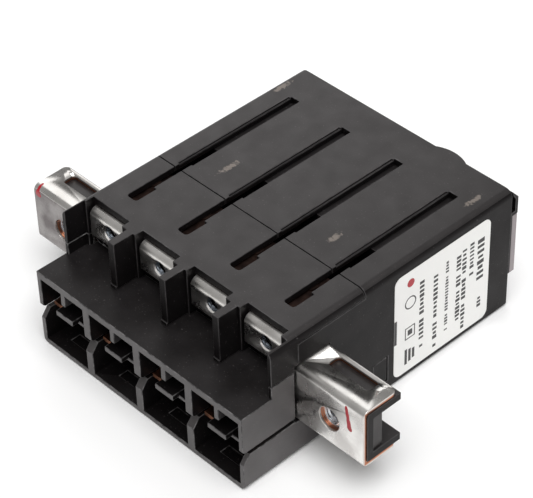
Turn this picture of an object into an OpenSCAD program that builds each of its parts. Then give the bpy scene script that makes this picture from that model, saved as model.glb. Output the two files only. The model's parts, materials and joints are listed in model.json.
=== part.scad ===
// Four-pole plug-in fuse disconnect block.
// A black moulded housing holds a common copper busbar, one threaded load terminal for each pole,
// and one fuse carrier for each pole, which pulls out of the rear face.
// Millimetres. +Z is up, -Y is the nose with the terminals, +X is the side with the label.

/* [Poles] */
// Number of poles side by side
poles = 4; // [2:1:6]
// Distance from one pole to the next
pole_pitch = 25.4; // [25:0.1:28]

/* [Housing] */
// Depth of the housing from the nose to the rear face
body_d = 126.4; // [122:0.2:150]
// Height of the housing
body_h = 51.3; // [51:0.1:56]
// Thickness of the housing's outer side walls
side_t = 2.2; // [1.6:0.1:2.4]
// Thickness of the housing's top
top_t = 2.4; // [1.8:0.1:2.6]
// Radius of the two long top edges
top_edge_r = 3; // [1:0.5:4]
// Width of the seams between the shells
seam = 0.3; // [0.1:0.05:0.5]
// Distance from the nose to the seam across the top
top_seam_y = 55.4; // [50:0.2:58]

/* [Nose] */
// Height of the lower tray
tray_h = 14.6; // [14:0.1:14.6]
// Height of the shelf in front of the terminals
shelf_z = 31.8; // [31:0.1:32]
// Thickness of the shelf
shelf_t = 2.8; // [2:0.1:3.2]
// Thickness of the walls between the pockets
pocket_wall = 3.3; // [2.4:0.1:3.6]

/* [Terminal barriers] */
// Thickness of the barrier fins
fin_t = 3.05; // [2:0.05:3.6]
// Distance from the nose to the front of the fins
fin_y = 13.2; // [10:0.2:15]
// Distance from the nose to the back wall of the terminal recesses
recess_y = 25.1; // [25:0.1:25.4]

/* [Busbar] */
// Overall length of the busbar
bus_len = 161.4; // [150:0.2:180]
// Height of the busbar's channel section
bus_h = 24.1; // [23:0.1:24.2]
// Depth of the busbar's channel section
bus_d = 15.2; // [14:0.1:16]
// Thickness of the copper
bus_t = 1.6; // [1.2:0.1:1.8]
// Radius of the mounting holes
bus_hole_r = 4.5; // [3.5:0.1:4.8]
// Distance from the mounting hole to the busbar's end
bus_hole_in = 15; // [12:0.5:18]
// Radius of the thread in the mounting nuts
nut_thread_r = 3.2; // [2.5:0.1:3.4]

/* [Load terminals] */
// Radius of the thread in the terminals
load_thread_r = 2.5; // [2:0.1:2.6]
// Height of the terminal thread above the base
load_hole_z = 42.7; // [41:0.1:42.8]

/* [Carriers] */
// Clearance between a carrier and its bay
bay_gap = 0.5; // [0.3:0.1:0.8]
// How far the carrier faces stand out of the rear face
face_proud = 3.6; // [3.2:0.1:4.5]
// Radius of the fuse's end caps
fuse_r = 7.2; // [6:0.1:7.3]

/* [Hidden] */
$fn = 48;
ONE_EACH = [
    "lower_tray", "nose_housing", "front_cover", "rear_housing", "busbar",
    "busbar_insert_left", "busbar_insert_right", "busbar_nut_left", "busbar_nut_right",
    "alarm_bus", "line_jaw_rivets", "load_jaw_rivets", "jaw_springs", "rating_label"
];
PER_POLE = [
    "load_terminal", "load_jaw", "line_jaw", "alarm_leaf", "carrier",
    "carrier_window", "fuse_tube", "fuse_caps", "fuse_blades"
];

moulding = "#3b3738";
tin = "#c9c6c0";
nickel = "#a8a49c";
copper = "#b8673f";
bronze = "#c08a4e";
ivory = "#e4ddd0";
steel = "#9b9ca0";

half_w = poles * pole_pitch / 2;
overall_d = body_d + face_proud;
pole_mid = pole_pitch / 2;
ceiling_z = body_h - top_t;

// Lower tray and nose
tray_floor = 1.8;
tray_d = 41;
tray_edge_r = 2;
tray_chamfer_z = 11;
tray_chamfer_y = 2.8;
pocket_d = 22;
mid_wall_t = 2;
rear_wall_t = 1.8;
tray_seam = 0.2;
floor_dent = [8.4, 17.2, 5.5, 9.2];
floor_dent_deep = 0.8;
alarm_notch = [10, 15.2];
alarm_notch_z = 11.4;
jaw_z = 16.3;
jaw_chamfer = 0.9;
nose_d = 23.3;
nose_back_t = 1.9;
nose_side_t = 1.8;
rib_t = 2;
rib_x = 13.4;
rib_d = 6;
rib_z = 24;
tongue = [8.6, 17.2];
tongue_z0 = 17;
tongue_z1 = 19.1;
divider_x0 = 9;
divider_y = 3;
divider_t = 1.4;
end_fin_t = fin_t / 2;
end_seam_z = 36.7;

// Terminal recesses, measured from a pole's left boundary
recess_x0 = 2.7;
recess_x1 = 21.35;
recess_step_y = 21.6;
recess_wall_t = 2;
bar_slot = [3.4, 20.9];
screw_way_r = 3;
toe_out = 0.5;
toe_h = 1.2;
lip_z = 47.7;

// Bays and slots, measured from a pole's left boundary
bay_x0 = 2.2;
bay_x1 = 23.2;
floor_t = 2.2;
bay_y = tray_d + seam;
sill_z = 13.2;
sill_t = 2.2;
leaf_post = [9.2, 16];
slot_x0 = 10.2;
slot_w = 3.4;
slot_wide_w = 4.7;
slot_rear_w = 4;
slot_y0 = 33.5;
slot_y1 = body_d - 15;
slot_wide_y = 42.7;
slot_corner_r = 1.2;
slot_ledge = 0.8;

// Snaps between the tray and the rear housing
snap_y0 = 59.2;
snap_y1 = 66.4;
snap_z0 = 4;
snap_z1 = 15.2;
snap_gap = 0.4;
snap_arm_t = 1.5;

// Locating lug on the rear edge
lug_x = 22.5;
lug_w = 14.3;
lug_out = 1.9;
lug_t = 1;

// Busbar
bus_y = 23.9;
bus_z = 14.5;
bus_bend_r = 2.5;
bus_hole_z = 26.2;
bus_mid_z0 = 18;
bus_mid_z1 = 30.5;
bus_mid_half = half_w - 2.4;
bus_slot_l = 18.1;
bus_slot_w = 5.2;
bus_slot_y = 32.3;
bus_corner_r = 2;
bus_slot_r = 1.2;
notch_gap = 0.4;
hole_x = bus_len / 2 - bus_hole_in;

// Busbar inserts and nuts
insert_out = 0.3;
insert_fit = 0.1;
insert_d = 15;
insert_corner_r = 1.2;
insert_set_back = 0.8;
insert_web_t = 2.8;
insert_plate_t = 3;
nut_r = 5.5;
nut_flange_r = 6.6;
nut_seat_y = 33;
nut_flange_t = 1.2;

// Contacts
blade_t = 1.6;
jaw_fit = 0.1;
finger_t = 1;
finger_flare = 0.9;
line_z0 = 22;
line_z1 = 30;
load_z0 = 38;
load_z1 = 44;
jaw_end_y = 72;
jaw_base_t = 1.8;
finger_tip = 2.7;
rivet_r = 1.5;
rivet_head_r = 2.5;
line_rivets = [7.2, 18.2];
load_rivets = [8.6, 16.8];
load_rivet_y = 47;
spring = [58, 66];
spring_t = 0.5;
bar_t = 2.4;
bar_z = load_z1 + 1.7;
bar_end = 54;
bar_neck_y = 29;
bar_neck = [6, 19.4];
term_y = 22.1;
term_t = 2.2;
term_z0 = 37;
term_hole_x = 13.7;
term_rim = 0.8;
term_bend_r = 3;

// Carriers and fuses
carrier_y = 74;
carrier_z0 = sill_z + bay_gap;
carrier_z1 = ceiling_z - bay_gap;
face_z1 = 39.6;
face_side = 0.3;
sight_r = 2.6;
fuse_z = 27;
fuse_y0 = 82;
fuse_l = 38;
cap_l = 9;
blade_y = 58;

// Alarm contacts
alarm_t = 1.5;
alarm_y0 = 5;
alarm_y1 = 13.2;
alarm_arm = [10.6, 14.6];
alarm_arm_z = 12.4;
alarm_arm_t = 1.2;
alarm_arm_y = 48;
leaf_pivot_y = 46;
leaf_pivot_z = 10.3;
leaf_eye_r = 0.8;
leaf_t = 0.45;
leaf_room = 0.35;
leaf = [9.8, 15.4];
leaf_y0 = 42.4;
leaf_y1 = 98;
leaf_tip_y = 101;
leaf_tip_z = 11.2;
leaf_bow_z = 12;

// Rating label on the right side
label_y = 69.1;
label_w = 46.5;
label_z = 2.3;
label_h = 44.2;
label_r = 3;
label_t = 0.15;

function pole_x(i) = i * pole_pitch - half_w;

// A box given by its lowest and highest corners
module block(x0, x1, y0, y1, z0, z1) {
    translate([x0, y0, z0]) cube([x1 - x0, y1 - y0, z1 - z0]);
}

// A profile drawn in (y, z), carried along X
module along_x(x0, x1) {
    translate([x0, 0, 0]) rotate([90, 0, 90]) linear_extrude(x1 - x0) children();
}

// A profile drawn in (x, z), carried along Y
module along_y(y0, y1) {
    translate([0, y1, 0]) rotate([90, 0, 0]) linear_extrude(y1 - y0) children();
}

module y_rod(x, z, y0, y1, r) {
    translate([x, y0, z]) rotate([-90, 0, 0]) cylinder(r = r, h = y1 - y0);
}

module z_rod(x, y, z0, z1, r) {
    translate([x, y, z0]) cylinder(r = r, h = z1 - z0);
}

// A rectangle with four rounded corners, given by its lowest and highest corners
module round_rect(x0, x1, y0, y1, r) {
    translate([x0 + r, y0]) square([x1 - x0 - 2 * r, y1 - y0]);
    translate([x0, y0 + r]) square([x1 - x0, y1 - y0 - 2 * r]);
    for (x = [x0 + r, x1 - r], y = [y0 + r, y1 - r]) translate([x, y]) circle(r);
}

// The housing's outline across its width, with rounded long edges
module outline(z1, top_r, bottom_r) {
    round_rect(-half_w, half_w, z1 / 3, z1, top_r);
    round_rect(-half_w, half_w, 0, z1 * 2 / 3, bottom_r);
}

module in_frame() {
    translate([0, -overall_d / 2, 0]) children();
}

module each_pole() {
    for (i = [0 : poles - 1]) translate([pole_x(i), 0, 0]) children();
}

module each_side() {
    children();
    mirror([1, 0, 0]) children();
}

// The way through the side walls for the busbar
module busbar_notch() {
    each_side() block(bus_mid_half - notch_gap, half_w + 1, bus_y - notch_gap, bus_y + bus_d + notch_gap,
        bus_z - notch_gap, bus_z + bus_h + notch_gap);
}

module tray_pocket(y0, y1) {
    for (i = [0 : poles - 1]) {
        left = i == 0 ? nose_side_t : pocket_wall / 2;
        right = i == poles - 1 ? nose_side_t : pocket_wall / 2;
        block(pole_x(i) + left, pole_x(i + 1) - right, y0, y1, tray_floor, tray_h + 1);
    }
}

module lower_tray() {
    arm_x = half_w - side_t - tray_seam;
    color(moulding) in_frame() union() {
        difference() {
            along_y(0, tray_d) {
                round_rect(-half_w, half_w, 0, tray_h - 1, tray_edge_r);
                translate([-half_w, tray_h / 2]) square([2 * half_w, tray_h / 2]);
            }
            tray_pocket(-1, pocket_d);
            tray_pocket(pocket_d + mid_wall_t, tray_d - rear_wall_t);
            along_x(-half_w - 1, half_w + 1) polygon([[-1, tray_chamfer_z - 1.3], [0, tray_chamfer_z],
                [tray_chamfer_y, tray_h], [tray_chamfer_y, tray_h + 1], [-1, tray_h + 1]]);
            each_pole() {
                block(floor_dent[0], floor_dent[1], floor_dent[2], floor_dent[3],
                    tray_floor - floor_dent_deep, tray_floor + 1);
                block(alarm_notch[0], alarm_notch[1], pocket_d - 1, tray_d + 1, alarm_notch_z, tray_h + 1);
            }
            busbar_notch();
        }
        each_side() {
            block(arm_x - snap_arm_t, arm_x, tray_d - 1, snap_y1 - snap_gap, snap_z0 + snap_gap,
                snap_z1 - snap_gap);
            block(arm_x - snap_arm_t, half_w - tray_seam, snap_y0 + snap_gap, snap_y1 - snap_gap,
                snap_z0 + snap_gap, snap_z1 - snap_gap);
        }
    }
}

module nose_housing() {
    inner_z = shelf_z - shelf_t;
    color(moulding) in_frame() difference() {
        union() {
            block(-half_w, half_w, 0, nose_d, inner_z, shelf_z);
            block(-half_w, half_w, nose_d - nose_back_t, nose_d, jaw_z, shelf_z);
            block(nose_side_t - half_w, half_w - nose_side_t, nose_d - nose_back_t, nose_d,
                tray_h + tray_seam, jaw_z + 1);
            block(-bus_mid_half + 0.5, bus_mid_half - 0.5, nose_d - 1, tray_d, tray_h + tray_seam,
                jaw_z);
            block(0.5 - bus_mid_half, bus_mid_half - 0.5, nose_d - 1, recess_y - 0.1,
                bus_mid_z1 + notch_gap, shelf_z);
            each_side() {
                block(half_w - nose_side_t, half_w, 0, nose_d, jaw_z, shelf_z);
                block(half_w - end_fin_t, half_w, fin_y, nose_d, inner_z, end_seam_z - seam / 2);
            }
            block(pole_x(0), pole_x(0) + recess_x0, recess_step_y, nose_d, inner_z, end_seam_z - seam / 2);
            block(pole_x(poles - 1) + recess_x1, half_w, recess_step_y, nose_d, inner_z,
                end_seam_z - seam / 2);
            for (i = [1 : poles - 1])
                block(pole_x(i) - pocket_wall / 2, pole_x(i) + pocket_wall / 2, 0, nose_d - 1,
                    jaw_z, shelf_z - 1);
            each_pole() {
                block(rib_x - rib_t / 2, rib_x + rib_t / 2, 0, rib_d, rib_z, shelf_z - 1);
                block(divider_x0, pole_pitch - pocket_wall / 2, divider_y, nose_d - 1,
                    jaw_z, jaw_z + divider_t);
                block(tongue[0], tongue[1], tray_seam, nose_d - 1, tongue_z0, tongue_z1);
            }
        }
        along_x(-half_w - 1, half_w + 1) polygon([[-1, jaw_z - 1], [-1, jaw_z + jaw_chamfer + 1],
            [0, jaw_z + jaw_chamfer], [jaw_chamfer, jaw_z], [jaw_chamfer, jaw_z - 1]]);
        busbar_notch();
    }
}

// Front end of a vent slot, seen from above, with rounded front corners
module slot_front() {
    round_rect(slot_x0, slot_x0 + slot_wide_w, slot_y0, slot_y0 + 4, slot_corner_r);
    translate([slot_x0, slot_y0 + 2]) square([slot_wide_w, slot_wide_y - slot_y0 - 2]);
    translate([slot_x0, slot_wide_y - 1]) square([slot_w, top_seam_y - slot_wide_y + 2]);
}

module front_cover() {
    wall_z = shelf_z + 0.1;
    end_z = end_seam_z + seam / 2;
    front_d = top_seam_y - seam / 2;
    back_y = recess_y + recess_wall_t + 1;
    color(moulding) in_frame() intersection() {
        along_y(fin_y - toe_out, front_d) outline(body_h, top_edge_r, 1);
        difference() {
            union() {
                for (i = [1 : poles - 1]) {
                    block(pole_x(i) - fin_t / 2, pole_x(i) + fin_t / 2, fin_y, recess_y + 1, wall_z, body_h);
                    block(pole_x(i) - fin_t / 2, pole_x(i) + fin_t / 2, fin_y - toe_out, recess_y, wall_z,
                        wall_z + toe_h);
                    block(pole_x(i - 1) + recess_x1, pole_x(i) + recess_x0, recess_step_y, recess_y + 1,
                        wall_z, body_h);
                    block(pole_x(i) - fin_t / 2, pole_x(i) + fin_t / 2, recess_y, tray_d,
                        wall_z, body_h - 1);
                }
                each_side() {
                    block(half_w - end_fin_t, half_w, fin_y, recess_y, end_z, body_h);
                    block(half_w - side_t, half_w, recess_y, front_d, lip_z + seam / 2, body_h);
                }
                block(pole_x(0), pole_x(0) + recess_x0, recess_step_y, recess_y, end_z, body_h);
                block(pole_x(poles - 1) + recess_x1, half_w, recess_step_y, recess_y, end_z, body_h);
                block(side_t + tray_seam - half_w, half_w - side_t - tray_seam, recess_y,
                    recess_y + recess_wall_t, wall_z, body_h - 1);
                block(-half_w, half_w, recess_y, front_d, ceiling_z, body_h);
            }
            each_pole() {
                block(bar_slot[0], bar_slot[1], recess_y - 1, back_y, bar_z - 0.2, bar_z + bar_t + 0.2);
                y_rod(term_hole_x, load_hole_z, recess_y - 1, back_y, screw_way_r);
                block(term_hole_x - screw_way_r, term_hole_x + screw_way_r, recess_y - 1, back_y,
                    load_hole_z, bar_z);
                translate([0, 0, body_h - 4]) linear_extrude(5) slot_front();
            }
            busbar_notch();
        }
    }
}

// Arched lug on the rear top edge that locates the block in a panel
module locating_lug() {
    r = lug_w * lug_w / (8 * lug_out) + lug_out / 2;
    intersection() {
        z_rod(lug_x, body_d + lug_out - r, body_h - lug_t, body_h, r);
        block(lug_x - lug_w, lug_x + lug_w, body_d - 1, body_d + lug_out + 1, body_h - lug_t, body_h);
    }
}

// Post with a round groove that a leaf's eye turns in
module leaf_cradle() {
    groove_r = leaf_eye_r + 0.1;
    difference() {
        block(leaf_post[0], leaf_post[1], leaf_pivot_y - 2 * leaf_eye_r, leaf_pivot_y + 2 * leaf_eye_r,
            floor_t - 1, leaf_pivot_z - leaf_room);
        along_x(leaf_post[0] - 1, leaf_post[1] + 1) translate([leaf_pivot_y, leaf_pivot_z]) circle(groove_r);
    }
}

module rear_housing() {
    rear_y = top_seam_y + seam / 2;
    color(moulding) in_frame() union() {
        intersection() {
            along_y(recess_y, body_d) outline(body_h, top_edge_r, 1);
            difference() {
                union() {
                    each_side() block(half_w - side_t, half_w, recess_y + seam / 2, rear_y + 1, tray_h + seam,
                        lip_z - seam / 2);
                    block(-half_w, half_w, bay_y, rear_y + 1, 0, lip_z - seam / 2);
                    block(-half_w, half_w, rear_y, body_d, 0, body_h);
                }
                each_pole() {
                    block(bay_x0, bay_x1, bay_y - 1, body_d - sill_t, floor_t, ceiling_z);
                    block(bay_x0, bay_x1, body_d - sill_t - 1, body_d + 1, sill_z, ceiling_z);
                    block(slot_x0, slot_x0 + slot_w, rear_y - 1, rear_y + 5, ceiling_z - 1, body_h + 1);
                    block(slot_x0, slot_x0 + slot_rear_w, rear_y + 4.5, slot_y1, ceiling_z - 1, body_h + 1);
                    block(slot_x0 - slot_ledge, slot_x0 + 1, rear_y + 2, slot_y1 - slot_ledge,
                        body_h - 0.6, body_h + 1);
                }
                each_side() block(half_w - side_t - 0.1, half_w + 1, snap_y0, snap_y1, snap_z0, snap_z1);
                busbar_notch();
            }
        }
        each_pole() leaf_cradle();
        locating_lug();
    }
}

// Channel section of the busbar, in (y, z), open to the rear
module channel() {
    inner_r = bus_bend_r - bus_t;
    difference() {
        union() {
            round_rect(bus_y, bus_y + bus_d - 2, bus_z, bus_z + bus_h, bus_bend_r);
            translate([bus_y + bus_bend_r, bus_z]) square([bus_d - bus_bend_r, bus_h]);
        }
        round_rect(bus_y + bus_t, bus_y + bus_d - 1, bus_z + bus_t, bus_z + bus_h - bus_t, inner_r);
        translate([bus_y + bus_t + inner_r, bus_z + bus_t]) square([bus_d, bus_h - 2 * bus_t]);
    }
}

module line_rivet_holes() {
    each_pole() for (x = line_rivets)
        y_rod(x, (bus_mid_z0 + bus_mid_z1) / 2, bus_y - 1, bus_y + bus_t + 3, rivet_r);
}

module busbar() {
    end_x = bus_len / 2;
    color(tin) in_frame() difference() {
        union() {
            block(-bus_mid_half - 1, bus_mid_half + 1, bus_y, bus_y + bus_t, bus_mid_z0, bus_mid_z1);
            each_side() intersection() {
                along_x(bus_mid_half, end_x) channel();
                linear_extrude(body_h) union() {
                    round_rect(0, end_x, bus_y, bus_y + bus_d, bus_corner_r);
                    translate([0, bus_y]) square([end_x, bus_d / 2]);
                }
            }
        }
        each_side() {
            y_rod(hole_x, bus_hole_z, bus_y - 1, bus_y + bus_t + 1, bus_hole_r);
            translate([0, 0, bus_z - 1]) linear_extrude(bus_h + 2)
                round_rect(hole_x - bus_slot_l / 2, hole_x + bus_slot_l / 2, bus_slot_y,
                    bus_slot_y + bus_slot_w, bus_slot_r);
        }
        line_rivet_holes();
    }
}

// Moulded insert that fills the busbar's end and holds the nut; drawn for the right end
module busbar_insert() {
    x0 = half_w + 0.4;
    x1 = bus_len / 2 + insert_out;
    y0 = bus_y + bus_t + insert_fit;
    z0 = bus_z + bus_t + insert_fit;
    z1 = bus_z + bus_h - bus_t - insert_fit;
    difference() {
        along_x(x0, x1) {
            round_rect(y0, y0 + 5, z0, z1, insert_corner_r);
            translate([y0 + 2, z0]) square([insert_d - 2, z1 - z0]);
        }
        translate([0, 0, z0 + insert_plate_t]) linear_extrude(z1 - z0 - 2 * insert_plate_t) {
            translate([x0 - 1, nut_seat_y]) square([x1 - x0 + 2, insert_d]);
            translate([x1 - insert_set_back, y0 + insert_web_t]) square([2, insert_d]);
            translate([x0 - 1, y0 + insert_web_t]) square([hole_x - 9 - x0, insert_d]);
        }
        y_rod(hole_x, bus_hole_z, y0 - 1, nut_seat_y + 1, nut_r);
    }
}

module busbar_insert_right() {
    color(moulding) in_frame() busbar_insert();
}

module busbar_insert_left() {
    color(moulding) in_frame() mirror([1, 0, 0]) busbar_insert();
}

// Threaded nut behind a mounting hole
module busbar_nut(x) {
    color(steel) in_frame() difference() {
        union() {
            y_rod(x, bus_hole_z, bus_y + bus_t, nut_seat_y, nut_r);
            y_rod(x, bus_hole_z, nut_seat_y, nut_seat_y + nut_flange_t, nut_flange_r);
        }
        y_rod(x, bus_hole_z, bus_y, nut_seat_y + 3, nut_thread_r);
    }
}

module load_terminal(i) {
    inner_r = 1;
    bar_top = bar_z + bar_t;
    front = term_y + term_t;
    color(nickel) in_frame() translate([pole_x(i), 0, 0]) difference() {
        along_x(bar_slot[0] + 0.2, bar_slot[1] - 0.2) difference() {
            union() {
                translate([term_y, term_z0]) square([term_bend_r, bar_top - term_z0 - term_bend_r]);
                translate([term_y + term_bend_r, term_z0])
                    square([bar_end - term_y - term_bend_r, bar_top - term_z0]);
                translate([term_y + term_bend_r, bar_top - term_bend_r]) circle(term_bend_r);
            }
            translate([front, term_z0 - 1]) square([inner_r, bar_z - term_z0 + 1 - inner_r]);
            translate([front + inner_r, term_z0 - 1]) square([bar_end, bar_z - term_z0 + 1]);
            translate([front + inner_r, bar_z - inner_r]) circle(inner_r);
        }
        block(0, bar_neck[0], bar_neck_y, bar_end + 1, bar_z - 1, bar_top + 1);
        block(bar_neck[1], pole_pitch, bar_neck_y, bar_end + 1, bar_z - 1, bar_top + 1);
        y_rod(term_hole_x, load_hole_z, term_y - 1, front + 1, load_thread_r);
        translate([term_hole_x, term_y, load_hole_z]) rotate([-90, 0, 0])
            cylinder(r1 = load_thread_r + term_rim, r2 = load_thread_r, h = term_rim / 2);
        for (x = load_rivets) z_rod(x, load_rivet_y, bar_z - 1, bar_top + 1, rivet_r);
    }
}

// Two contact fingers either side of a blade, with flared tips, from y0 to the jaw's end
module fingers(y0, z0, z1) {
    inner = blade_t / 2 + jaw_fit;
    outer = inner + finger_t;
    for (side = [-1, 1]) translate([pole_mid, 0, z0]) linear_extrude(z1 - z0)
        polygon([for (p = [[inner, y0], [outer, y0], [outer, jaw_end_y - finger_tip],
            [outer + finger_flare, jaw_end_y], [inner + finger_flare, jaw_end_y],
            [inner, jaw_end_y - finger_tip]]) [side * p[0], p[1]]]);
}

module load_jaw(i) {
    base_z = bar_z - jaw_base_t;
    color(copper) in_frame() translate([pole_x(i), 0, 0]) difference() {
        union() {
            block(bar_neck[0], bar_neck[1], tray_d, bar_end, base_z, bar_z);
            fingers(bar_end - 4, load_z0 - 1.5, bar_z);
        }
        for (x = load_rivets) z_rod(x, load_rivet_y, base_z - 1, bar_z + 1, rivet_r);
    }
}

module line_jaw(i) {
    base_y = bus_y + bus_t;
    color(copper) in_frame() difference() {
        translate([pole_x(i), 0, 0]) {
            block(5, 20.4, base_y, base_y + jaw_base_t, bus_mid_z0 + 0.5, bus_mid_z1 - 0.5);
            fingers(base_y + 1, line_z0 - 1.5, line_z1);
        }
        line_rivet_holes();
    }
}

module line_jaw_rivets() {
    base_y = bus_y + bus_t + jaw_base_t;
    z = (bus_mid_z0 + bus_mid_z1) / 2;
    color(copper) in_frame() each_pole() for (x = line_rivets) {
        y_rod(x, z, bus_y - 0.5, bus_y, rivet_head_r);
        y_rod(x, z, bus_y - 0.1, base_y + 0.1, rivet_r);
        y_rod(x, z, base_y, base_y + 1, rivet_head_r);
    }
}

module load_jaw_rivets() {
    top_z = bar_z + bar_t;
    jaw_under = bar_z - jaw_base_t;
    color(copper) in_frame() each_pole() for (x = load_rivets) {
        z_rod(x, load_rivet_y, top_z, top_z + 0.5, rivet_head_r);
        z_rod(x, load_rivet_y, jaw_under - 0.1, top_z + 0.1, rivet_r);
        z_rod(x, load_rivet_y, jaw_under - 0.8, jaw_under, rivet_head_r);
    }
}

// Steel clips that press the fingers together, one on each jaw
module jaw_springs() {
    leg_x = blade_t / 2 + jaw_fit + finger_t + 0.05;
    bridge_x = leg_x + spring_t;
    line_top = line_z1 + 1;
    load_under = load_z0 - 2.4;
    color(steel) in_frame() each_pole() translate([pole_mid, 0, 0]) {
        for (side = [-1, 1]) {
            x0 = min(side * leg_x, side * bridge_x);
            block(x0, x0 + spring_t, spring[0], spring[1], line_z0 - 0.5, line_top);
            block(x0, x0 + spring_t, spring[0], spring[1], load_under, load_z1);
        }
        block(-bridge_x, bridge_x, spring[0], spring[1], line_top - spring_t, line_top);
        block(-bridge_x, bridge_x, spring[0], spring[1], load_under, load_under + spring_t);
    }
}

module carrier(i) {
    face_y = body_d + seam;
    front_t = 6;
    lip_t = 1.3;
    color(moulding) in_frame() translate([pole_x(i), 0, 0]) difference() {
        union() {
            block(bay_x0 + bay_gap, bay_x1 - bay_gap, carrier_y, face_y + 0.1, carrier_z0, carrier_z1);
            block(face_side, pole_pitch - face_side, face_y, face_y + 0.7, carrier_z0 + 0.2, face_z1 + 1);
            along_x(face_side, pole_pitch - face_side) polygon([
                [face_y, face_z1], [overall_d, face_z1], [overall_d, lip_z - 0.9],
                [face_y + 0.5, body_h - 1.4], [face_y + 0.5, body_h - 2.6],
                [overall_d - lip_t, lip_z - 1.4], [overall_d - lip_t, face_z1 + 1.4],
                [face_y, face_z1 + 1.4]]);
        }
        block(pole_mid - 7.5, pole_mid + 7.5, carrier_y + front_t, body_d - 4, 0, load_z1 + 0.8);
        block(pole_mid - blade_t / 2, pole_mid + blade_t / 2, carrier_y - 1, carrier_y + front_t + 1,
            line_z0, line_z1);
        block(pole_mid - blade_t / 2, pole_mid + blade_t / 2, carrier_y - 1, carrier_y + front_t + 1,
            load_z0, load_z1);
        y_rod(pole_mid, fuse_z, body_d - 5, overall_d + 1, sight_r);
    }
}

module carrier_window(i) {
    color(ivory) in_frame() translate([pole_x(i), 0, 0]) difference() {
        block(face_side, pole_pitch - face_side, body_d + seam + 0.7, overall_d - 0.2,
            carrier_z0 + 0.2, face_z1 - 0.1);
        y_rod(pole_mid, fuse_z, body_d, overall_d + 1, sight_r);
    }
}

module fuse_tube(i) {
    color(ivory) in_frame() translate([pole_x(i), 0, 0])
        y_rod(pole_mid, fuse_z, fuse_y0 + cap_l, fuse_y0 + fuse_l - cap_l, fuse_r - 0.4);
}

module fuse_caps(i) {
    color(nickel) in_frame() translate([pole_x(i), 0, 0])
        for (y = [fuse_y0, fuse_y0 + fuse_l - cap_l]) y_rod(pole_mid, fuse_z, y, y + cap_l, fuse_r);
}

// Line blade on the fuse's front cap, and load blade that reaches back over the fuse to its rear cap
module fuse_blades(i) {
    x0 = pole_mid - blade_t / 2;
    x1 = pole_mid + blade_t / 2;
    color(copper) in_frame() translate([pole_x(i), 0, 0]) {
        block(x0, x1, blade_y, fuse_y0, line_z0, line_z1);
        block(x0, x1, blade_y, fuse_y0 + fuse_l - 2, load_z0, load_z1);
        block(x0, x1, fuse_y0 + fuse_l - 8, fuse_y0 + fuse_l - 2, fuse_z + fuse_r, load_z0 + 0.1);
    }
}

// Copper strip across the nose, with a tab in each pocket and an arm back to each alarm leaf
module alarm_bus() {
    z0 = tray_h;
    z1 = tray_h + alarm_t;
    tab_y = 9;
    edge_x = half_w - 1.5;
    slope_y = alarm_y1 + 2.4;
    arm_top = alarm_arm_z + alarm_arm_t;
    color(copper) in_frame() {
        block(-edge_x, edge_x, tab_y, alarm_y1, z0, z1);
        each_pole() block(1.9, 7.2, alarm_y0, tab_y + 0.1, z0, z1);
        each_side() block(edge_x - 1.1, edge_x, alarm_y0, tab_y + 0.1, z0, z1);
        each_pole() along_x(alarm_arm[0], alarm_arm[1]) polygon([[alarm_y1 - 1.2, z0], [alarm_y1 + 0.2, z0],
            [slope_y, alarm_arm_z], [alarm_arm_y, alarm_arm_z], [alarm_arm_y, arm_top],
            [slope_y + 0.5, arm_top], [alarm_y1 + 0.7, z1], [alarm_y1 - 1.2, z1]]);
    }
}

// Bronze leaf that rocks on its eye: a blown fuse pushes the long end down
module alarm_leaf(i) {
    color(bronze) in_frame() translate([pole_x(i), 0, 0]) along_x(leaf[0], leaf[1]) {
        polygon([[leaf_y0, leaf_tip_z], [leaf_pivot_y, leaf_pivot_z], [leaf_y1, leaf_bow_z],
            [leaf_tip_y, leaf_tip_z], [leaf_tip_y, leaf_tip_z + leaf_t], [leaf_y1, leaf_bow_z + leaf_t],
            [leaf_pivot_y, leaf_pivot_z + leaf_t], [leaf_y0, leaf_tip_z + leaf_t]]);
        translate([leaf_pivot_y, leaf_pivot_z]) circle(leaf_eye_r);
    }
}

module rating_label() {
    color("white") in_frame() along_x(half_w, half_w + label_t)
        round_rect(label_y, label_y + label_w, label_z, label_z + label_h, label_r);
}

lower_tray();
nose_housing();
front_cover();
rear_housing();
busbar();
busbar_insert_left();
busbar_insert_right();
busbar_nut(-hole_x);  // busbar_nut_left
busbar_nut(hole_x);  // busbar_nut_right
alarm_bus();
line_jaw_rivets();
load_jaw_rivets();
jaw_springs();
rating_label();
for (i = [0 : poles - 1]) {
    n = str("_", i + 1);
    load_terminal(i);
    load_jaw(i);
    line_jaw(i);
    alarm_leaf(i);
    carrier(i);
    carrier_window(i);
    fuse_tube(i);
    fuse_caps(i);
    fuse_blades(i);
}
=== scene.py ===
"""A four-pole plug-in fuse disconnect block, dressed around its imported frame.

Metres. +Z is up, -Y is the nose with the terminals, and +X is the side with the label.
"""

import json
import math

import bmesh
import bpy
import numpy as np
from mathutils import Matrix, Vector


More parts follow.
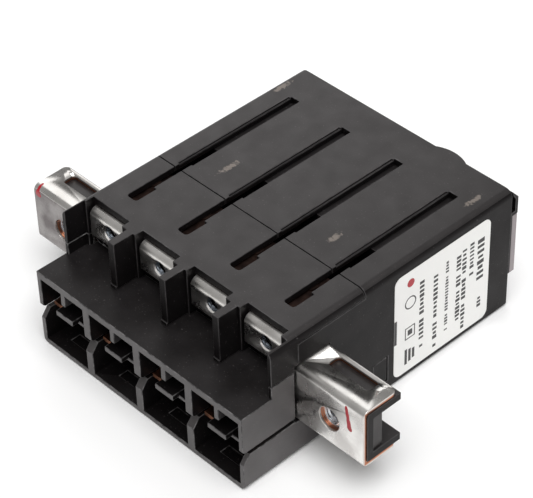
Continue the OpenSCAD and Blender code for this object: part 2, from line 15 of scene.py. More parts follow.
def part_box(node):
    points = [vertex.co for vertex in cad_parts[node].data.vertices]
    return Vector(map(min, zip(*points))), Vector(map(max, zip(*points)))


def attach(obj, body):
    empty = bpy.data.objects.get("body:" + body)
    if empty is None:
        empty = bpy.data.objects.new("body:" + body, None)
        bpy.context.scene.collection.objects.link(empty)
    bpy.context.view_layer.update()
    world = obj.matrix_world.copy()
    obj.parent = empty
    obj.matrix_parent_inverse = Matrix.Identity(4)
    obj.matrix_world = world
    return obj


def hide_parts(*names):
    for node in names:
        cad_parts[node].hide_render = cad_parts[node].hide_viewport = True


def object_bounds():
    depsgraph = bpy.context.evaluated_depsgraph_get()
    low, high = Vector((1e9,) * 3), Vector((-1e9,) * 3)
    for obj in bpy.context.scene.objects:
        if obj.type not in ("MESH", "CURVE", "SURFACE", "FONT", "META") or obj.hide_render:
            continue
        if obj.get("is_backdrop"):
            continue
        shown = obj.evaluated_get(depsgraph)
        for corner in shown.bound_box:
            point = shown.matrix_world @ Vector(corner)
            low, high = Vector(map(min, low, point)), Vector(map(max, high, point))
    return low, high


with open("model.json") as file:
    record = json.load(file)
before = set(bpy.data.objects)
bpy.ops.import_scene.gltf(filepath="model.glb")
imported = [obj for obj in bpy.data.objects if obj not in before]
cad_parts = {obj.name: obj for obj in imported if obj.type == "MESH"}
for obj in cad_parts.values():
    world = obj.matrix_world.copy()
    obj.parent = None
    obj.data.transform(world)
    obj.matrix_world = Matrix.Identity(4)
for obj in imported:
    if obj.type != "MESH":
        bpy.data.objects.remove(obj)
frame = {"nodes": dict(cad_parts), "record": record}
cad_low, cad_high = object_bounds()


# ---------------------------------------------------------------- camera
# The block is seen from above its right front corner through a long lens, so that its edges stay
# nearly parallel.
MM = 0.001
azimuth, elevation, roll = (math.radians(angle) for angle in (47.54, 40.49, -1.89))
camera_distance = 758.9 * MM
looks_at = (cad_low + cad_high) / 2 + Vector((-5.15, -0.70, 4.17)) * MM

back = Vector((math.sin(azimuth) * math.cos(elevation), -math.cos(azimuth) * math.cos(elevation),
               math.sin(elevation)))
level = Vector((0, 0, 1)).cross(back).normalized()
right = level * math.cos(roll) + back.cross(level) * math.sin(roll)
camera = bpy.data.objects.new("camera", bpy.data.cameras.new("camera"))
camera.data.lens = 149.6
camera.data.sensor_width = 36
camera.data.clip_start = 0.01
camera.matrix_world = (Matrix.Translation(looks_at + back * camera_distance)
                       @ Matrix((right, back.cross(right), back)).transposed().to_4x4())
bpy.context.scene.collection.objects.link(camera)
bpy.context.scene.camera = camera


# ---------------------------------------------------------------- floor and light
# A white seamless floor lit by a broad overhead light in a dim room, with two soft lamps: one on the
# right, and one behind on the left that the top reflects.
def lamp(name, place, target, size, power):
    """A square soft lamp at a place, turned towards a target."""
    data = bpy.data.lights.new(name, "AREA")
    data.size = size
    data.energy = power
    lit = bpy.data.objects.new(name, data)
    lit.location = place
    lit.rotation_euler = (Vector(place) - Vector(target)).to_track_quat("Z", "Y").to_euler()
    bpy.context.scene.collection.objects.link(lit)


lamp("lamp_right", (0.75, -0.10, 0.30), (0.05, 0, 0.02), 0.50, 0.5)
lamp("lamp_behind", (-0.48, 0.34, 0.45), (-0.10, 0, 0.05), 0.50, 1.0)
overhead = bpy.data.objects.new("overhead", bpy.data.lights.new("overhead", "SUN"))
overhead.data.energy = 2.5
overhead.data.angle = math.radians(50)
overhead.rotation_euler = Vector((0.30, -0.18, 1)).to_track_quat("Z", "Y").to_euler()
bpy.context.scene.collection.objects.link(overhead)

world = bpy.data.worlds.new("white_room")
world.use_nodes = True
world.node_tree.nodes["Background"].inputs["Color"].default_value = (1.0, 0.99, 0.98, 1)
world.node_tree.nodes["Background"].inputs["Strength"].default_value = 0.32
bpy.context.scene.world = world
bpy.context.scene.view_settings.view_transform = "Standard"


def new_material(name, metallic=0.0, roughness=0.5, specular=0.5):
    """A material with a Principled shader, and its node tree and shader."""
    material = bpy.data.materials.new(name)
    material.use_nodes = True
    tree = material.node_tree
    shader = tree.nodes["Principled BSDF"]
    shader.inputs["Metallic"].default_value = metallic
    shader.inputs["Roughness"].default_value = roughness
    shader.inputs["Specular IOR Level"].default_value = specular
    return material, tree, shader


def noise(tree, per_metre, detail=2.0, stretch=(1, 1, 1), kind="Noise"):
    """Noise or Voronoi cells on Object coordinates, so many to a metre, denser where stretch is above 1."""
    coordinates = tree.nodes.new("ShaderNodeTexCoord")
    mapping = tree.nodes.new("ShaderNodeMapping")
    texture = tree.nodes.new(f"ShaderNodeTex{kind}")
    mapping.inputs["Scale"].default_value = stretch
    texture.inputs["Scale"].default_value = per_metre
    texture.inputs["Detail"].default_value = detail
    tree.links.new(coordinates.outputs["Object"], mapping.inputs["Vector"])
    tree.links.new(mapping.outputs["Vector"], texture.inputs["Vector"])
    return texture.outputs[0]


def ramp(tree, value, low, high, from_value=0.0, to_value=1.0):
    """A value between low and high, clamped and carried over to another range."""
    node = tree.nodes.new("ShaderNodeMapRange")
    sockets = ("From Min", "From Max", "To Min", "To Max")
    for socket, number in zip(sockets, (low, high, from_value, to_value)):
        node.inputs[socket].default_value = number
    tree.links.new(value, node.inputs["Value"])
    return node.outputs["Result"]


def blend_colours(tree, share, first, second):
    """The first colour where share is 0 and the second where it is 1; each a colour or a socket."""
    node = tree.nodes.new("ShaderNodeMix")
    node.data_type = "RGBA"
    tree.links.new(share, node.inputs[0])
    for socket, colour in ((node.inputs[6], first), (node.inputs[7], second)):
        if isinstance(colour, tuple):
            socket.default_value = (*colour, 1)
        else:
            tree.links.new(colour, socket)
    return node.outputs[2]


def raise_surface(tree, shader, height, depth, strength=1.0):
    """Bump of a real depth from a height between 0 and 1, over any bump the shader has already."""
    node = tree.nodes.new("ShaderNodeBump")
    node.inputs["Distance"].default_value = depth
    node.inputs["Strength"].default_value = strength
    tree.links.new(height, node.inputs["Height"])
    if shader.inputs["Normal"].links:
        tree.links.new(shader.inputs["Normal"].links[0].from_socket, node.inputs["Normal"])
    tree.links.new(node.outputs["Normal"], shader.inputs["Normal"])


def grid_mesh(name, points, closed_across=False, closed_along=False):
    """A mesh from an array of points (along, across, 3), with a face between each four neighbours."""
    along, across = points.shape[:2]
    index = np.arange(along * across).reshape(along, across)
    if closed_along:
        index = np.vstack([index, index[:1]])
    if closed_across:
        index = np.hstack([index, index[:, :1]])
    faces = np.stack([index[:-1, :-1], index[1:, :-1], index[1:, 1:], index[:-1, 1:]], axis=-1)
    mesh = bpy.data.meshes.new(name)
    mesh.from_pydata(points.reshape(-1, 3).tolist(), [], faces.reshape(-1, 4).tolist())
    return mesh


def piece(name, mesh, material, body="block"):
    """An object for a finished mesh, which rides on a body."""
    made = bpy.data.objects.new(name, mesh)
    mesh.materials.append(material)
    bpy.context.scene.collection.objects.link(made)
    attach(made, body)
    return made


floor_u, floor_v = np.meshgrid(np.linspace(-3, 3, 13), np.linspace(-3, 3, 13), indexing="ij")
floor_mesh = grid_mesh("floor", np.stack([floor_u, floor_v, np.full_like(floor_u, -0.0003)], axis=-1))
floor = bpy.data.objects.new("floor", floor_mesh)
bpy.context.scene.collection.objects.link(floor)
floor_paint, floor_tree, floor_shader = new_material("floor_paint", roughness=0.7)
floor_tree.links.new(
    blend_colours(floor_tree, noise(floor_tree, 8, 3), (0.93, 0.93, 0.93), (0.95, 0.95, 0.95)),
    floor_shader.inputs["Base Color"])
floor_mesh.materials.append(floor_paint)
floor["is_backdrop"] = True


# ---------------------------------------------------------------- moulded housing
# Four glass-filled nylon mouldings snapped together, and the two inserts in the busbar's ends. They
# are near black with a fine satin grain, in copies painted lighter and darker for how light falls:
# the nose's outer walls paler as painted light, other walls and inner faces darker as painted shade,
# and the moulded edges paler as painted highlight over some rubbing.
def rounded(node, width, segments=2, shortest=0.0):
    """A copy of a CAD node with doubles merged, flat faces joined, every edge that stands out by more
    than 30 degrees and is longer than a shortest length rounded, and every inner corner kept sharp."""
    shape = bmesh.new()
    shape.from_mesh(frame["nodes"][node].data)
    bmesh.ops.remove_doubles(shape, verts=shape.verts, dist=1e-6)
    bmesh.ops.dissolve_limit(shape, angle_limit=math.radians(0.5), verts=shape.verts, edges=shape.edges)
    weight = shape.edges.layers.float.new("bevel_weight_edge")
    for face in shape.faces:
        face.smooth = True
    for edge in shape.edges:
        turn = edge.calc_face_angle_signed(0) if len(edge.link_faces) == 2 else 0
        edge[weight] = 1.0 if turn > math.radians(30) and edge.calc_length() > shortest else 0.0
        edge.smooth = turn > math.radians(-30)
    mesh = bpy.data.meshes.new(node)
    shape.to_mesh(mesh)
    shape.free()
    for layer in [a for a in mesh.attributes if a.name == "custom_normal"]:
        mesh.attributes.remove(layer)
    made = bpy.data.objects.new(f"{node}_finished", mesh)
    bpy.context.scene.collection.objects.link(made)
    bevel = made.modifiers.new("rounded_edges", "BEVEL")
    bevel.width = width
    bevel.segments = segments
    bevel.limit_method = "WEIGHT"
    bevel.use_clamp_overlap = False
    bevel.harden_normals = True
    bevel.miter_outer = "MITER_SHARP"
    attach(made, next(b for b, nodes in frame["record"]["behaviour"]["bodies"].items() if node in nodes))
    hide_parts(node)
    return made


def moulding_face(name, dark, pale, specular, gate_marks=()):
    """Near-black satin nylon: soft mottling, fine grain, a few pale specks, and pale smears at the gates."""
    material, tree, shader = new_material(name, roughness=0.45, specular=specular)
    shader.inputs["Specular Tint"].default_value = (1.0, 0.95, 0.945, 1)
    colour = blend_colours(tree, ramp(tree, noise(tree, 90, 4), 0.35, 0.65), dark, pale)
    specks = ramp(tree, noise(tree, 1500, 1), 0.69, 0.78, 0.0, 0.45)
    colour = blend_colours(tree, specks, colour, (0.11, 0.10, 0.10))
    for place, half_length in gate_marks:
        coordinates = tree.nodes.new("ShaderNodeTexCoord")
        mapping = tree.nodes.new("ShaderNodeMapping")
        mapping.vector_type = "TEXTURE"
        mapping.inputs["Location"].default_value = place
        mapping.inputs["Scale"].default_value = (1.1 * MM, half_length, 2 * MM)
        reach = tree.nodes.new("ShaderNodeVectorMath")
        reach.operation = "LENGTH"
        tree.links.new(coordinates.outputs["Object"], mapping.inputs["Vector"])
        tree.links.new(mapping.outputs["Vector"], reach.inputs[0])
        ragged = tree.nodes.new("ShaderNodeMath")
        ragged.operation = "ADD"
        tree.links.new(reach.outputs["Value"], ragged.inputs[0])
        tree.links.new(ramp(tree, noise(tree, 900, 3), 0.3, 0.7, -0.55, 0.55), ragged.inputs[1])
        colour = blend_colours(tree, ramp(tree, ragged.outputs[0], 1.15, 0.6, 0, 0.75), colour,
                               (0.20, 0.17, 0.145))
    tree.links.new(colour, shader.inputs["Base Color"])
    tree.links.new(ramp(tree, noise(tree, 140, 5), 0.3, 0.7, 0.40, 0.50), shader.inputs["Roughness"])
    raise_surface(tree, shader, noise(tree, 2600, 2), 0.02 * MM, 0.5)
    raise_surface(tree, shader, noise(tree, 70, 2), 0.15 * MM, 0.05)
    return material


def moulding_edge(name, rubbed_and_highlight):
    """The same nylon on a moulded edge, paler in places: some rubbing, and a painted highlight along the
    edge.
    """
    material, tree, shader = new_material(name, roughness=0.38, specular=0.45)
    tree.links.new(
        blend_colours(tree, ramp(tree, noise(tree, 500, 4), 0.35, 0.65), (0.016, 0.0145, 0.015), rubbed_and_highlight),
        shader.inputs["Base Color"])
    raise_surface(tree, shader, noise(tree, 2600, 2), 0.02 * MM, 0.4)
    return material


def face_values(mesh, quantity):
    """A quantity of every face of a mesh, such as its centre or its normal, as an array (faces, 3)."""
    values = np.empty(len(mesh.polygons) * 3)
    mesh.polygons.foreach_get(quantity, values)
    return values.reshape(-1, 3)


def moulded(node, width, level_face, edge, painted_wall, shaded_inside):
    """A moulding with rounded edges, in one finish on its level faces, one on its edges, one on its
    outer walls and one on the faces inside it: copies of one nylon painted lighter and darker as
    painted light and shade, the inner faces dark as painted shade in the recesses. The inner faces lie
    more than 3 mm behind its front and within its side walls, and they don't look up unless they are
    over 6 mm below its top."""
    made = rounded(node, width)
    for material in (level_face, edge, painted_wall, shaded_inside):
        made.data.materials.append(material)
    low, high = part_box(node)
    front_depth, top_depth, side_skin = 3 * MM, 6 * MM, 0.1 * MM
    normals, centres = face_values(made.data, "normal"), face_values(made.data, "center")
    looks_up = normals[:, 2] >= 0.7
    # Upright faces take the wall copy, and faces deep in the block the inside copy, painted shade.
    finish = np.where(np.abs(normals[:, 2]) < 0.7, 2, 0)
    in_shade = (np.abs(centres[:, 0]) < high.x - side_skin) & (centres[:, 1] > low.y + front_depth)
    in_shade &= ~looks_up | (centres[:, 2] < high.z - top_depth)
    finish[in_shade] = 3
    made.data.polygons.foreach_set("material_index", finish.astype(np.int32))
    made.modifiers["rounded_edges"].material = 1


rear_low, rear_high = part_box("rear_housing")
top_z = rear_high.z
# The middle and the half length of each gate mark on the rear housing's top.
rear_gates = [((rear_low.x + 3.5 * MM, rear_high.y - 15 * MM, top_z), 4 * MM),
              ((rear_low.x + 23.8 * MM, rear_low.y + 43 * MM, top_z), 4.5 * MM),
              ((rear_high.x - 25.6 * MM, rear_low.y + 42 * MM, top_z), 3 * MM),
              ((rear_high.x - 6.1 * MM, rear_high.y - 15 * MM, top_z), 4 * MM)]
# Copies of one nylon painted for how light falls: the nose's outer walls paler as painted light, the
# housing's walls and all inner faces darker as painted shade, the edges paler as painted highlight.
nose_face = moulding_face("nose_face", (0.0060, 0.0052, 0.0054), (0.0125, 0.0112, 0.0116), 0.22)
nose_wall_painted_light = moulding_face("nose_wall_painted_light", (0.026, 0.024, 0.0245), (0.040, 0.037, 0.038), 0.85)
nose_edge_wear_and_highlight = moulding_edge("nose_edge_wear_and_highlight", (0.14, 0.135, 0.135))
housing_face = moulding_face("housing_face", (0.0050, 0.0042, 0.0045), (0.0080, 0.0069, 0.0072), 0.62)
housing_wall_painted_shade = moulding_face("housing_wall_painted_shade", (0.0042, 0.0035, 0.0037), (0.0070, 0.0061, 0.0064), 0.15)
housing_edge_wear_and_highlight = moulding_edge("housing_edge_wear_and_highlight", (0.045, 0.041, 0.042))
top_face = moulding_face("top_face", (0.0050, 0.0042, 0.0045), (0.0080, 0.0069, 0.0072), 0.62, rear_gates)
for shell in ("lower_tray", "nose_housing"):
    moulded(shell, 0.25 * MM, nose_face, nose_edge_wear_and_highlight, nose_wall_painted_light, housing_wall_painted_shade)
moulded("front_cover", 0.25 * MM, housing_face, housing_edge_wear_and_highlight, housing_wall_painted_shade, housing_wall_painted_shade)
moulded("rear_housing", 0.25 * MM, top_face, housing_edge_wear_and_highlight, housing_wall_painted_shade, housing_wall_painted_shade)
for insert in ("busbar_insert_left", "busbar_insert_right"):
    moulded(insert, 0.2 * MM, housing_face, housing_edge_wear_and_highlight, housing_wall_painted_shade, housing_face)


# ---------------------------------------------------------------- busbar
# A channel bent from copper sheet, plated with bright tin before it is cut: its ends and the walls
# of its holes and slots are bare copper. The tin has faint rolling lines and smudges, and its front
# is painted darker towards the left end as painted shade.
def plated(name, bright, dull, roughness, lines, pits=0.0):
    """Plated metal: patches of two tones, rolling lines along X, and a mottled surface."""
    material, tree, shader = new_material(name, metallic=1.0)
    patches = ramp(tree, noise(tree, 60, 4), 0.35, 0.68)
    tree.links.new(blend_colours(tree, patches, bright, dull), shader.inputs["Base Color"])
    tree.links.new(ramp(tree, noise(tree, 150, 5), 0.3, 0.7, roughness - 0.06, roughness + 0.08),
                   shader.inputs["Roughness"])
    raise_surface(tree, shader, noise(tree, 1800, 3, stretch=(0.05, 1, 1)), 0.02 * MM, lines)
    raise_surface(tree, shader, noise(tree, 260, 3), 0.05 * MM, 0.3)
    if pits:
        dents = ramp(tree, noise(tree, 1300, 1, kind="Voronoi"), 0.0, 0.5)
        raise_surface(tree, shader, dents, 0.10 * MM, pits)
    return material


def bare_copper(name, bright, dull, roughness):
    """Bare copper between a bright and a dull tone, with a fine shear grain."""
    material, tree, shader = new_material(name, metallic=1.0)
    tree.links.new(blend_colours(tree, ramp(tree, noise(tree, 300, 4), 0.3, 0.7), bright, dull),
                   shader.inputs["Base Color"])
    tree.links.new(ramp(tree, noise(tree, 500, 3), 0.3, 0.7, roughness - 0.08, roughness + 0.12),
                   shader.inputs["Roughness"])
    raise_surface(tree, shader, noise(tree, 2200, 2), 0.02 * MM, 0.5)
    return material


tin = plated("tin", (0.80, 0.785, 0.76), (0.62, 0.60, 0.575), 0.28, 0.35)
front_tin_shaded_left, front_tree, front_shader = new_material("front_tin_shaded_left", metallic=1.0)
front_place = front_tree.nodes.new("ShaderNodeSeparateXYZ")
front_coordinates = front_tree.nodes.new("ShaderNodeTexCoord")
front_tree.links.new(front_coordinates.outputs["Object"], front_place.inputs["Vector"])
# The front is darker towards the left end, painted shade, with smudges over it.
left_shade_ramp = ramp(front_tree, front_place.outputs["X"], -30 * MM, 30 * MM)
smudges = ramp(front_tree, noise(front_tree, 110, 5), 0.38, 0.62)
front_tree.links.new(
    blend_colours(front_tree, left_shade_ramp,
                  blend_colours(front_tree, smudges, (0.28, 0.265, 0.26), (0.13, 0.115, 0.115)),
                  blend_colours(front_tree, smudges, (0.86, 0.845, 0.82), (0.62, 0.60, 0.58))),
    front_shader.inputs["Base Color"])
front_tree.links.new(ramp(front_tree, noise(front_tree, 150, 5), 0.3, 0.7, 0.22, 0.36),
                     front_shader.inputs["Roughness"])
raise_surface(front_tree, front_shader, noise(front_tree, 1800, 3, stretch=(0.05, 1, 1)), 0.02 * MM, 0.5)
raise_surface(front_tree, front_shader, noise(front_tree, 260, 3), 0.05 * MM, 0.3)
bus_low, bus_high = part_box("busbar")
sheared, sheared_tree, sheared_shader = new_material("sheared", metallic=1.0, roughness=0.34)
sheared_place = sheared_tree.nodes.new("ShaderNodeSeparateXYZ")
sheared_coordinates = sheared_tree.nodes.new("ShaderNodeTexCoord")
sheared_tree.links.new(sheared_coordinates.outputs["Object"], sheared_place.inputs["Vector"])
skin = None
skin_full, skin_gone = 0.6 * MM, 0.9 * MM
for axis, outside, inwards in (("Y", bus_low.y, 1), ("Z", bus_high.z, -1), ("Z", bus_low.z, 1)):
    near = ramp(sheared_tree, sheared_place.outputs[axis],
                outside + inwards * skin_gone, outside + inwards * skin_full)
    if skin:
        nearest = sheared_tree.nodes.new("ShaderNodeMath")
        nearest.operation = "MAXIMUM"
        sheared_tree.links.new(skin, nearest.inputs[0])
        sheared_tree.links.new(near, nearest.inputs[1])
        near = nearest.outputs[0]
    skin = near
sheared_tree.links.new(
    blend_colours(sheared_tree, skin,
                  blend_colours(sheared_tree, noise(sheared_tree, 400, 4),
                                (0.66, 0.27, 0.14), (0.34, 0.12, 0.07)),
                  (0.66, 0.62, 0.58)),
    sheared_shader.inputs["Base Color"])
raise_surface(sheared_tree, sheared_shader, noise(sheared_tree, 2200, 2), 0.02 * MM, 0.5)
nut_low, nut_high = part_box("busbar_nut_right")
hole_centre = (nut_low + nut_high) / 2
bus_hole_radius = 4.5 * MM
slot_half_length = 9.05 * MM
end_depth, slot_front, flange_inside, hair = 3 * MM, 6 * MM, 9 * MM, 0.1 * MM
busbar = rounded("busbar", 0.15 * MM, shortest=0.3 * MM)
for material in (tin, sheared, front_tin_shaded_left):
    busbar.data.materials.append(material)

centres, facing = face_values(busbar.data, "center"), face_values(busbar.data, "normal")
from_middle, normals = np.abs(centres[:, 0]), np.abs(facing)
front = (facing[:, 1] < -0.9) & (centres[:, 1] < bus_low.y + 0.5 * MM)
from_hole = np.hypot(from_middle - hole_centre.x, centres[:, 2] - hole_centre.z)
in_slot = ((np.abs(from_middle - hole_centre.x) < slot_half_length + 2 * hair)
           & (centres[:, 1] > bus_low.y + slot_front) & (centres[:, 1] < bus_high.y - hair)
           & (np.abs(centres[:, 2] - hole_centre.z) > flange_inside))
cut = (normals[:, 0] > 0.6) & (from_middle > bus_high.x - end_depth)
cut |= (from_hole < bus_hole_radius + hair) & (normals[:, 1] < 0.5)
cut |= in_slot & (normals[:, 2] < 0.5)
cut |= (normals[:, 1] > 0.6) & (centres[:, 1] > bus_high.y - hair)
finish = np.where(cut, 1, np.where(front, 2, 0))
busbar.data.polygons.foreach_set("material_index", finish.astype(np.int32))


# ---------------------------------------------------------------- nuts and their threads
# Zinc-plated steel nuts pressed in behind the busbar's front holes. The thread is a helix cut into
# the bore of each.
def thread_mesh(name, centre, length, radius, pitch):
    """A sleeve along Y whose inner face is a thread: radius - depth * ridge(y / pitch - turn), where the
    ridge is a rounded triangle wave; its outer face is a plain cylinder sunk in the wall."""
    depth = 0.5 * pitch
    sunk = 0.04 * MM
    rows = int(length / pitch * 12)
    turn = np.linspace(0, 2 * np.pi, 64, endpoint=False)
    y = np.linspace(-length / 2, length / 2, rows)
    phase = y[:, None] / pitch - turn[None, :] / (2 * np.pi)
    ridge = 0.5 + 0.5 * np.sin(2 * np.pi * phase) * (1 - 0.15 * np.cos(4 * np.pi * phase))
    taper = np.clip((length / 2 - np.abs(y)) / (0.5 * pitch), 0, 1)[:, None]
    inner = radius - depth * ridge * taper
    outer = np.full((2, turn.size), radius + sunk)
    r = np.vstack([inner, outer])
    y = np.concatenate([y, [length / 2, -length / 2]])[:, None] + 0 * r
    points = np.stack([centre.x + r * np.cos(turn), centre.y + y, centre.z + r * np.sin(turn)], axis=-1)
    mesh = grid_mesh(name, points, closed_across=True, closed_along=True)
    mesh.flip_normals()
    mesh.shade_smooth()
    return mesh


zinc = plated("zinc", (0.72, 0.73, 0.75), (0.50, 0.51, 0.54), 0.22, 0.15)
nut_thread_radius, nut_thread_pitch = 3.22 * MM, 1.27 * MM
thread_inset = 0.2 * MM
for side, node in (("left", "busbar_nut_left"), ("right", "busbar_nut_right")):
    low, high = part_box(node)
    nut = rounded(node, 0.12 * MM)
    nut.data.materials.append(zinc)
    piece(f"nut_thread_{side}",
          thread_mesh(f"nut_thread_{side}", (low + high) / 2, high.y - low.y - 2 * thread_inset,
                      nut_thread_radius, nut_thread_pitch),
          zinc)


# ---------------------------------------------------------------- inspection marks
# Two strokes of red marking ink on the busbar: one down the front face at the right end, and one
# over the top bend at the left end. Each ends in a drop where the brush lifted.
def ink_stroke(name, x_start, x_end, start, end, widths):
    """A flattened tube of ink along the channel's outline. The path (y, z) runs down the top flange,
    round the bend and down the front; start and end are lengths along it from the bend's middle.
    Across, the ink is an ellipse as wide as widths says and 0.06 mm thick, closing at both ends."""
    bend, half_thick = 2.5 * MM, 0.03 * MM
    half_bend = bend * np.pi / 4
    share = np.linspace(0, 1, 40)[:, None]
    along = start + (end - start) * share
    turned = np.clip(along / bend, -np.pi / 4, np.pi / 4) + np.pi / 4
    straight = along - np.clip(along, -half_bend, half_bend)
    centre_y, centre_z = bus_low.y + bend, bus_high.z - bend
    normal_y, normal_z = -np.sin(turned), np.cos(turned)
    path_y = centre_y + bend * normal_y - np.minimum(straight, 0)
    path_z = centre_z + bend * normal_z - np.maximum(straight, 0)
    width = np.interp(share, np.linspace(0, 1, len(widths)), widths)
    width *= np.sqrt(1 - (2 * share - 1) ** 8 + 1e-6)
    turn = np.linspace(0, 2 * np.pi, 16, endpoint=False)[None, :]
    rise = half_thick * np.sin(turn)
    wobble = 1 + 0.08 * np.sin(23 * share)
    x = x_start + (x_end - x_start) * share + 0.5 * width * wobble * np.cos(turn)
    points = np.stack([x, path_y + rise * normal_y, path_z + rise * normal_z], axis=-1)
    mesh = grid_mesh(name, points, closed_across=True)
    mesh.flip_normals()
    mesh.shade_smooth()
    return mesh


ink, ink_tree, ink_shader = new_material("red_ink", roughness=0.3)
ink_tree.links.new(
    blend_colours(ink_tree, noise(ink_tree, 700, 3), (0.50, 0.004, 0.016), (0.28, 0.003, 0.012)),
    ink_shader.inputs["Base Color"])
raise_surface(ink_tree, ink_shader, noise(ink_tree, 1500, 2), 0.02 * MM, 0.4)
piece("ink_mark_right",
      ink_stroke("ink_mark_right", hole_centre.x + 7.5 * MM, hole_centre.x + 9.3 * MM, 1.0 * MM, 11.0 * MM,
                 [1.3 * MM, 1.5 * MM, 1.5 * MM, 1.9 * MM, 2.3 * MM]), ink)
piece("ink_mark_left",
      ink_stroke("ink_mark_left", -hole_centre.x - 13.0 * MM, -hole_centre.x - 12.6 * MM, -2.6 * MM, 3.6 * MM,
                 [0.9 * MM, 1.0 * MM, 1.2 * MM, 2.9 * MM, 3.0 * MM]), ink)


# ---------------------------------------------------------------- load terminals
# Copper plates with a dull, pitted nickel plating, bent back at the top into the slot in the recess wall.
# The bend's upward faces are paler nickel as a painted highlight, and the bar behind it is bare copper,
# painted very dark as painted shade in the slot. The hole in each is countersunk and threaded.
nickel = plated("nickel", (0.66, 0.64, 0.62), (0.30, 0.29, 0.28), 0.27, 0.3, pits=1.0)
rolled_nickel_highlight = plated("rolled_nickel_highlight", (0.90, 0.88, 0.85), (0.70, 0.68, 0.65), 0.30, 0.2, pits=0.3)
blued_thread = plated("blued_thread", (0.36, 0.40, 0.45), (0.16, 0.18, 0.21), 0.26, 0.1)
# Very dark copper: painted shade for the bar in the wall slot and the jaws deep in the block.
shaded_copper = bare_copper("shaded_copper", (0.070, 0.042, 0.034), (0.036, 0.024, 0.022), 0.5)
plated_depth = 6 * MM
thread_middle, thread_length = 1.25 * MM, 1.7 * MM
thread_radius, thread_pitch = 2.52 * MM, 0.8 * MM
for mount in [m for m in frame["record"]["mounts"] if m["name"].startswith("load_thread")]:
    number = mount["name"][-1]
    terminal = rounded(f"load_terminal_{number}", 0.2 * MM)
    for material in (nickel, shaded_copper, rolled_nickel_highlight):
        terminal.data.materials.append(material)
    plate_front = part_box(f"load_terminal_{number}")[0].y
    shaded_bar = face_values(terminal.data, "center")[:, 1] > plate_front + plated_depth
    # Faces that look up on the bend take the paler nickel, a painted highlight.
    lit_roll = face_values(terminal.data, "normal")[:, 2] > 0.25
    finish = np.where(shaded_bar, 1, np.where(lit_roll, 2, 0))
    terminal.data.polygons.foreach_set("material_index", finish.astype(np.int32))
    hole_x, _, hole_z = mount["pos_m"]
    piece(f"terminal_thread_{number}",
          thread_mesh(f"terminal_thread_{number}", Vector((hole_x, plate_front + thread_middle, hole_z)),
                      thread_length, thread_radius, thread_pitch),
          blued_thread)


# ---------------------------------------------------------------- rating label
# A white polyester label with rounded corners on the right side, printed in black with plain rows
# of marks and a red inspection dot.
label_white, label_tree, label_shader = new_material("label_white", roughness=0.38)
label_tree.links.new(
    blend_colours(label_tree, noise(label_tree, 60, 3), (0.88, 0.875, 0.855), (0.82, 0.815, 0.795)),
    label_shader.inputs["Base Color"])
raise_surface(label_tree, label_shader, noise(label_tree, 900, 2), 0.02 * MM, 0.2)
frame["nodes"]["rating_label"].data.materials.clear()
frame["nodes"]["rating_label"].data.materials.append(label_white)
label_low, label_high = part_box("rating_label")
label_deep, label_tall = label_high.y - label_low.y, label_high.z - label_low.z
ink_thick = 0.03 * MM


def printed_blocks(name, blocks):
    """Thin closed boxes of ink on the label, from an array of (y, z, half y, half z) for each."""
    corners = np.array([(-1, -1), (1, -1), (1, 1), (-1, 1)])
    blocks = np.asarray(blocks)
    outline = blocks[:, None, :2] + corners[None] * blocks[:, None, 2:]
    x = np.array([label_high.x - 0.5 * ink_thick, label_high.x + 0.5 * ink_thick])
    points = np.empty((len(blocks), 2, 4, 3))
    points[..., 0] = x[None, :, None]
    points[..., 1:] = outline[:, None]
    box = np.array([(0, 3, 2, 1), (4, 5, 6, 7), (0, 1, 5, 4), (1, 2, 6, 5), (2, 3, 7, 6), (3, 0, 4, 7)])
    faces = box[None] + 8 * np.arange(len(blocks))[:, None, None]
    mesh = bpy.data.meshes.new(name)
    mesh.from_pydata(points.reshape(-1, 3).tolist(), [], faces.reshape(-1, 4).tolist())
    return mesh


def printed_ring(name, y, z, outer, inner):
    """A flat ring of ink, a rectangle carried round a circle; a disc where inner is almost 0."""
    turn = np.linspace(0, 2 * np.pi, 48, endpoint=False)[:, None]
    r = np.array([[inner, outer, outer, inner]])
    x = label_high.x + np.array([[0.5, 0.5, -0.5, -0.5]]) * ink_thick
    points = np.stack([x + 0 * turn, y + r * np.cos(turn), z + r * np.sin(turn)], axis=-1)
    mesh = grid_mesh(name, points, closed_across=True, closed_along=True)
    mesh.flip_normals()
    return mesh


black_ink, black_tree, black_shader = new_material("black_ink", roughness=0.5)
black_tree.links.new(
    blend_colours(black_tree, noise(black_tree, 1200, 2), (0.022, 0.021, 0.022), (0.045, 0.043, 0.044)),
    black_shader.inputs["Base Color"])
chance = np.random.default_rng(7)
# A row of print: its place across the label, its start and its end down it, all as shares of the
# label, then the number of its strokes and their height in millimetres.
print_rows = [(0.903, 0.147, 0.625, 9, 4.0), (0.903, 0.74, 0.85, 3, 2.2), (0.807, 0.13, 0.466, 9, 2.4),
              (0.727, 0.14, 0.96, 19, 2.5), (0.667, 0.17, 0.84, 17, 2.6), (0.545, 0.148, 0.86, 24, 1.8),
              (0.425, 0.20, 0.95, 17, 2.5), (0.281, 0.165, 0.854, 16, 2.6)]
blocks = []
for across, start, end, strokes, height in print_rows:
    step = (end - start) * label_tall / strokes
    gaps = chance.choice(np.arange(2, strokes), strokes // 7, replace=False)
    for stroke in np.setdiff1d(np.arange(strokes), gaps):
        tall = height * MM * chance.choice([0.62, 0.85, 0.85])
        wide = step * chance.uniform(0.45, 0.8)
        down = start * label_tall + step * (stroke + 0.5)
        blocks.append((label_low.y + across * label_deep, label_high.z - down, 0.5 * tall, 0.5 * wide))
piece("label_print", printed_blocks("label_print", blocks), black_ink)
marks_y = label_low.y + 0.163 * label_deep
piece("label_ring", printed_ring("label_ring", marks_y, label_high.z - 0.31 * label_tall, 2.7 * MM, 2.2 * MM),
      black_ink)
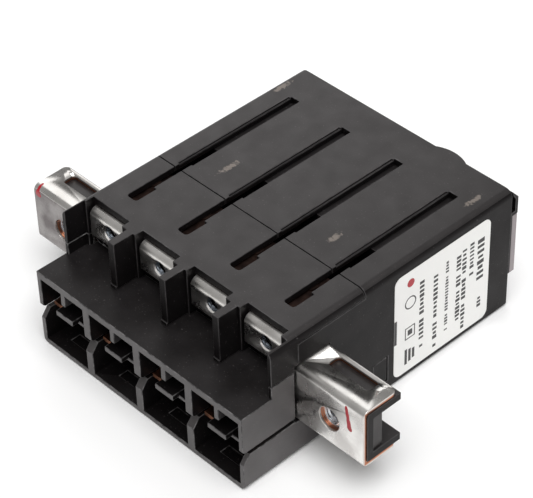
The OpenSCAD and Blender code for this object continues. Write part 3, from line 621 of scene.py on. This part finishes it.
frame_z = label_high.z - 0.61 * label_tall
piece("label_frame", printed_blocks("label_frame", [
    (marks_y - 2.2 * MM, frame_z, 0.22 * MM, 2.4 * MM), (marks_y + 2.2 * MM, frame_z, 0.22 * MM, 2.4 * MM),
    (marks_y, frame_z - 2.4 * MM, 2.4 * MM, 0.22 * MM), (marks_y, frame_z + 2.4 * MM, 2.4 * MM, 0.22 * MM),
    (marks_y, frame_z, 1.1 * MM, 1.2 * MM)]), black_ink)
piece("label_tab", printed_blocks("label_tab", [
    (label_low.y + 0.6 * MM, label_low.z + 0.47 * label_tall, 0.6 * MM, 5.3 * MM)]),
    black_ink)
piece("label_bars", printed_blocks("label_bars", [
    (marks_y - 1.8 * MM + 1.8 * MM * i, label_high.z - 0.845 * label_tall, 0.6 * MM, (3.4 - 0.6 * i) * MM)
    for i in range(3)]), black_ink)
piece("label_dot", printed_ring("label_dot", marks_y, label_high.z - 0.115 * label_tall, 1.7 * MM, 0.01 * MM),
      ink)


# ---------------------------------------------------------------- fuse carriers
# Black carriers that pull out of the rear face, each with a smoky nylon window plate and a sight
# hole over the fuse's end.
window_grey, window_tree, window_shader = new_material("window_grey", roughness=0.42)
window_tree.links.new(
    blend_colours(window_tree, noise(window_tree, 80, 4), (0.31, 0.27, 0.28), (0.24, 0.21, 0.215)),
    window_shader.inputs["Base Color"])
raise_surface(window_tree, window_shader, noise(window_tree, 2000, 2), 0.02 * MM, 0.4)
poles = range(1, len([n for n in frame["nodes"] if n.startswith("carrier_window")]) + 1)
for pole in poles:
    moulded(f"carrier_{pole}", 0.2 * MM, housing_face, housing_edge_wear_and_highlight, housing_wall_painted_shade, housing_wall_painted_shade)
    window = rounded(f"carrier_window_{pole}", 0.25 * MM)
    window.data.materials.append(window_grey)


# ---------------------------------------------------------------- fuses
# Cartridge fuses: a fibre tube between two plated caps, clipped in the carrier with copper blades
# that reach forward to the jaws.
cut_copper = bare_copper("cut_copper", (0.62, 0.25, 0.13), (0.32, 0.11, 0.06), 0.38)
fibre, fibre_tree, fibre_shader = new_material("fibre", roughness=0.62)
fibre_tree.links.new(
    blend_colours(fibre_tree, noise(fibre_tree, 500, 4, stretch=(1, 0.1, 1)),
                  (0.78, 0.74, 0.64), (0.68, 0.63, 0.53)),
    fibre_shader.inputs["Base Color"])
raise_surface(fibre_tree, fibre_shader, noise(fibre_tree, 1500, 3, stretch=(1, 0.1, 1)), 0.03 * MM, 0.5)


def repaint(node, material):
    """A CAD node shown as it is, in this finish."""
    shown = frame["nodes"][node].data
    shown.materials.clear()
    shown.materials.append(material)


bright_nickel = plated("bright_nickel", (0.80, 0.79, 0.76), (0.62, 0.61, 0.59), 0.2, 0.2)
for pole in poles:
    repaint(f"fuse_tube_{pole}", fibre)
    caps = rounded(f"fuse_caps_{pole}", 0.5 * MM, segments=3)
    caps.data.materials.append(bright_nickel)
    blades = rounded(f"fuse_blades_{pole}", 0.15 * MM)
    blades.data.materials.append(cut_copper)


# ---------------------------------------------------------------- contacts
# Copper jaws riveted to the busbar and to the terminals, pressed together by steel clips, and the
# copper alarm strip with a bronze leaf for each pole.
bronze = plated("bronze", (0.62, 0.40, 0.18), (0.45, 0.27, 0.12), 0.28, 0.3)
strip_copper = bare_copper("strip_copper", (0.40, 0.19, 0.115), (0.20, 0.09, 0.055), 0.42)
for pole in poles:
    # The jaws and rivets take the very dark copper, painted shade of their deep slots.
    repaint(f"load_jaw_{pole}", shaded_copper)
    repaint(f"line_jaw_{pole}", shaded_copper)
    repaint(f"alarm_leaf_{pole}", bronze)
for node in ("line_jaw_rivets", "load_jaw_rivets"):
    repaint(node, shaded_copper)
repaint("alarm_bus", strip_copper)
repaint("jaw_springs", zinc)


# ---------------------------------------------------------------- sizes
# The finished block's box; the frame's box was taken just after the import.
low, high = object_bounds()
